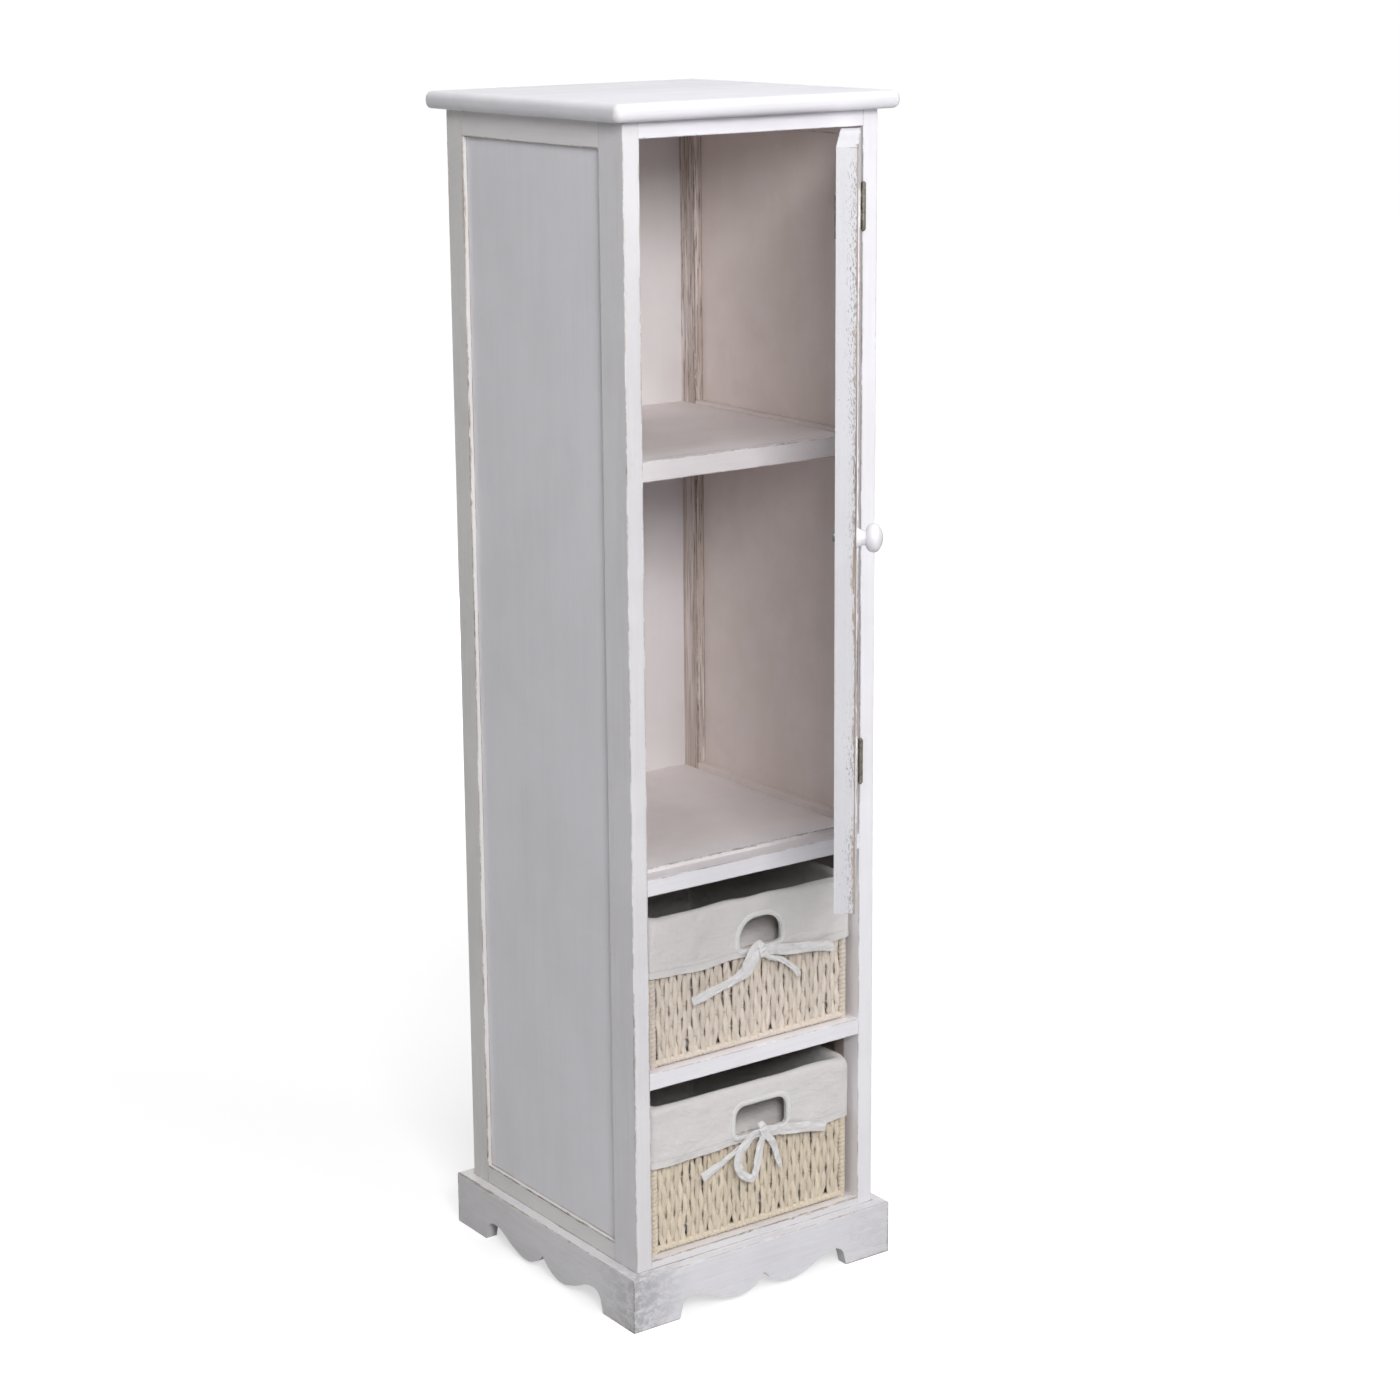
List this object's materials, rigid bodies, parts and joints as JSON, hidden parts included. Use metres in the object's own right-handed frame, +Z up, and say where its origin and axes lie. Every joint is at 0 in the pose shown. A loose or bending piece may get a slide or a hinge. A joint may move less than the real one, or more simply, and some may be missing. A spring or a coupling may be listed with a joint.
{
  "type": "bathroom cabinet",
  "caption": "Tall narrow free-standing cabinet with a scalloped plinth, one framed door over shelved space and lined wicker baskets below.",
  "frame": {"origin": "middle of the plinth's outline, on the floor", "axes": "+Z up, +X to the right seen from the front, +Y to the back; the door stands open at rest"},
  "size_m": [0.31, 0.4908, 1.12],
  "materials": {
    "painted_wood": "white wash over open grain, rubbed back on the edges",
    "painted_board": "thin white wash over ply, faint grain",
    "painted_knob": "smooth satin white paint",
    "hinge_brass": "aged dark brass",
    "screw_steel": "zinc plated",
    "catch_plastic": "white moulded plastic",
    "magnet_iron": "dark ferrite between steel plates",
    "wicker_pale": "twisted paper cord, cream",
    "wicker_straw": "twisted paper cord, straw",
    "liner_cotton": "plain weave cotton, off-white",
    "ribbon_cotton": "folded cotton tape, white"
  },
  "bodies": {
    "case": {"top_board": "painted_wood", "left_front_stile": "painted_wood", "left_rear_stile": "painted_wood", "left_top_rail": "painted_wood", "left_bottom_rail": "painted_wood", "left_side_panel": "painted_board", "right_front_stile": "painted_wood", "right_rear_stile": "painted_wood", "right_top_rail": "painted_wood", "right_bottom_rail": "painted_wood", "right_side_panel": "painted_board", "back_panel": "painted_board", "back_top_rail": "painted_wood", "back_bottom_rail": "painted_wood", "front_top_rail": "painted_wood", "upper_shelf_rail": "painted_wood", "upper_shelf_board": "painted_board", "lower_shelf_rail": "painted_wood", "lower_shelf_board": "painted_board", "middle_shelf_rail": "painted_wood", "middle_shelf_board": "painted_board", "bottom_shelf_rail": "painted_wood", "bottom_shelf_board": "painted_board", "side_cleats": "painted_wood", "rear_cleats": "painted_wood", "front_apron": "painted_wood", "left_apron": "painted_wood", "right_apron": "painted_wood", "back_apron": "painted_wood", "hinge_pins": "hinge_brass", "lower_hinge_frame_leaf": "hinge_brass", "upper_hinge_frame_leaf": "hinge_brass", "catch_housing": "catch_plastic", "catch_magnet": "magnet_iron", "case_screws": "screw_steel"},
    "door": {"door_free_stile": "painted_wood", "door_hinge_stile": "painted_wood", "door_top_rail": "painted_wood", "door_bottom_rail": "painted_wood", "door_panel": "painted_board", "door_knob": "painted_knob", "knob_screw": "screw_steel", "strike_plate": "screw_steel", "door_screws": "screw_steel", "lower_hinge_door_leaf": "hinge_brass", "upper_hinge_door_leaf": "hinge_brass"},
    "basket_upper": {"upper_basket_frame": "wicker_pale", "upper_basket_front_wall": "wicker_pale", "upper_basket_walls": "wicker_pale", "upper_basket_base": "wicker_pale", "upper_basket_liner": "liner_cotton", "upper_basket_ribbon": "ribbon_cotton"},
    "basket_lower": {"lower_basket_frame": "wicker_straw", "lower_basket_front_wall": "wicker_straw", "lower_basket_walls": "wicker_straw", "lower_basket_base": "wicker_straw", "lower_basket_liner": "liner_cotton", "lower_basket_ribbon": "ribbon_cotton"}
  },
  "joints": [
    {"name": "door_hinge", "type": "hinge", "parent": "case", "child": "door", "pos_m": [0.121, -0.1455, 0.7595], "axis": [0, 0, 1], "range_deg": [-50.5, 129.5]},
    {"name": "basket_upper_slide", "type": "slide", "parent": "case", "child": "basket_upper", "axis": [0, -1, 0], "range_m": [0, 0.285]},
    {"name": "basket_lower_slide", "type": "slide", "parent": "case", "child": "basket_lower", "axis": [0, -1, 0], "range_m": [0, 0.285]}
  ]
}
